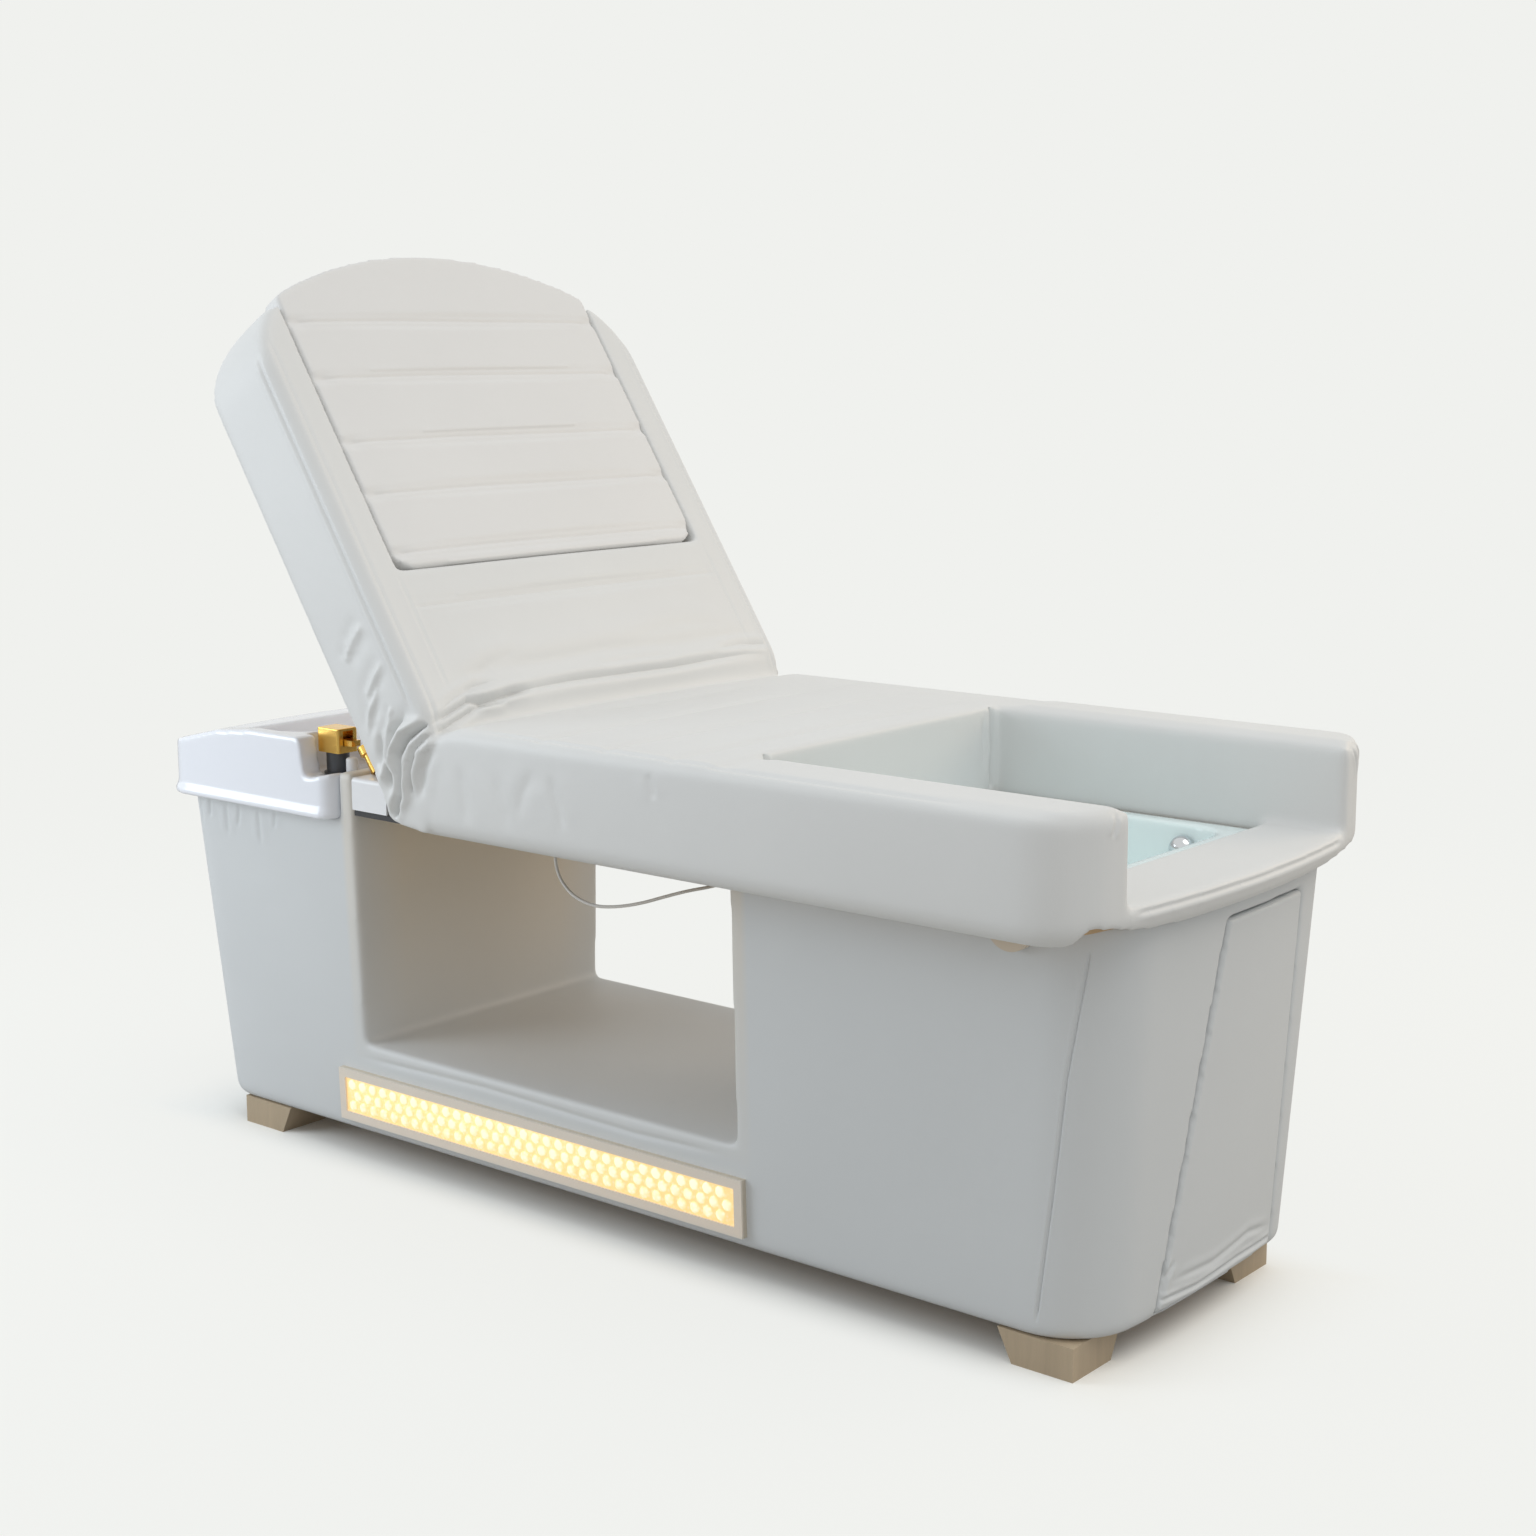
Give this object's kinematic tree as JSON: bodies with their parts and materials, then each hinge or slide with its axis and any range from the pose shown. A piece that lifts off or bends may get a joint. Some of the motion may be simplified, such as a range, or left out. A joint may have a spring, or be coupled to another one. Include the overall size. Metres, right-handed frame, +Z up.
{
  "type": "hair washing bed",
  "caption": "Upholstered salon bed with a shampoo basin at the head, a reclining back, a foot bath and a lit open shelf.",
  "frame": {"origin": "centre of the object's box, on the floor", "axes": "+X towards the foot end, +Z up, -Y is the side with the light panel and the tap"},
  "size_m": [1.8699, 0.788, 1.4162],
  "materials": {
    "pad_leather": "soft light grey upholstery leather, satin",
    "base_leather": "pale grey upholstery leather, satin",
    "basin_ceramic": "glazed white",
    "bath_acrylic": "gloss white acrylic",
    "plywood": "bare plywood",
    "leg_wood": "pale satin wood",
    "frame_steel": "black powder coat",
    "pin_steel": "bright steel",
    "gold": "brushed gold plate",
    "gunmetal": "dark grey satin",
    "chrome": "polished",
    "light_aluminium": "satin anodised",
    "clear_bezel": "frosted clear acrylic",
    "light_beads": "beaded warm white diffuser",
    "light_strip": "white strip board",
    "grey_plastic": "moulded mid grey",
    "white_plastic": "moulded white",
    "lead_grey": "pale grey flexible lead"
  },
  "bodies": {
    "base": {"seat_cushion": "pad_leather", "near_arm_cushion": "pad_leather", "far_arm_cushion": "pad_leather", "foot_ledge_cushion": "pad_leather", "head_cabinet": "base_leather", "foot_cabinet": "base_leather", "cubby_head_wall": "base_leather", "cubby_foot_wall": "base_leather", "cubby_shelf": "base_leather", "near_sill": "base_leather", "far_sill": "base_leather", "head_basin": "basin_ceramic", "foot_basin": "bath_acrylic", "bottom_board": "plywood", "seat_deck": "plywood", "foot_deck": "plywood", "pad_tabs": "plywood", "leg_near_head": "leg_wood", "leg_far_head": "leg_wood", "leg_near_foot": "leg_wood", "leg_far_foot": "leg_wood", "seat_frame_tubes": "frame_steel", "hinge_brackets": "frame_steel", "actuator_saddle": "frame_steel", "hinge_pins": "pin_steel", "actuator_rear_mount": "pin_steel", "mixer_body": "gunmetal", "spray_holder": "gunmetal", "head_drain_cup": "chrome", "foot_drain_cup": "chrome", "foot_basin_inlet": "chrome", "led_housing": "light_aluminium", "led_bezel": "clear_bezel", "led_diffuser": "light_beads", "led_strips": "light_strip", "actuator_housing": "grey_plastic", "control_box": "grey_plastic", "head_drain_trap": "grey_plastic", "foot_waste_pipe": "grey_plastic", "panel_catches": "grey_plastic", "neck_bridge": "white_plastic", "loop_cable": "lead_grey"},
    "backrest": {"back_side_boards": "plywood", "back_board": "plywood", "back_cushion": "pad_leather", "back_tubes": "frame_steel", "back_hinge_arms": "frame_steel", "drive_arms": "frame_steel", "near_bolster": "pad_leather", "far_bolster": "pad_leather"},
    "insert": {"insert_cushion": "pad_leather", "insert_board": "plywood"},
    "push_rod": {"actuator_rod": "pin_steel"},
    "service_door": {"service_panel": "base_leather"},
    "tap_swivel": {"mixer_cap": "gold"},
    "tap_lever": {"mixer_lever": "gold"},
    "diverter": {"diverter_knob": "white_plastic"},
    "hand_spray": {"spray_handset": "gold"},
    "head_plug": {"head_drain_plug": "chrome"},
    "foot_plug": {"foot_drain_plug": "chrome"}
  },
  "joints": [
    {"name": "backrest_recline", "type": "hinge", "parent": "base", "child": "backrest", "pos_m": [-0.2185, 0, 0.627], "axis": [0, -1, 0], "range_deg": [0, 57.2]},
    {"name": "push_rod_slide", "type": "slide", "parent": "base", "child": "push_rod", "axis": [1, 0, 0], "range_m": [0, 0.0865]},
    {"name": "insert_lift", "type": "slide", "parent": "backrest", "child": "insert", "axis": [0.8406, 0, 0.5417], "range_m": [0, 0.12]},
    {"name": "service_panel_pull", "type": "slide", "parent": "base", "child": "service_door", "axis": [1, 0, 0], "range_m": [0, 0.15]},
    {"name": "tap_swing", "type": "hinge", "parent": "base", "child": "tap_swivel", "pos_m": [-0.545, -0.236, 0.65], "axis": [0, 0, 1], "range_deg": [-30, 30]},
    {"name": "tap_lift", "type": "hinge", "parent": "tap_swivel", "child": "tap_lever", "pos_m": [-0.527, -0.236, 0.667], "axis": [0, -1, 0], "range_deg": [0, 14]},
    {"name": "diverter_turn", "type": "hinge", "parent": "base", "child": "diverter", "pos_m": [-0.512, -0.236, 0.614], "axis": [0, 0, 1], "range_deg": [-45, 45]},
    {"name": "spray_lift_off", "type": "slide", "parent": "base", "child": "hand_spray", "axis": [0, -1, 0], "range_m": [0, 0.04]},
    {"name": "head_plug_rise", "type": "slide", "parent": "base", "child": "head_plug", "axis": [0, 0, 1], "range_m": [0, 0.008]},
    {"name": "foot_plug_rise", "type": "slide", "parent": "base", "child": "foot_plug", "axis": [0, 0, 1], "range_m": [0, 0.008]}
  ],
  "couplings": [
    {"joint": "push_rod_slide", "follows": "backrest_recline", "m_per_rad": 0.086309}
  ]
}
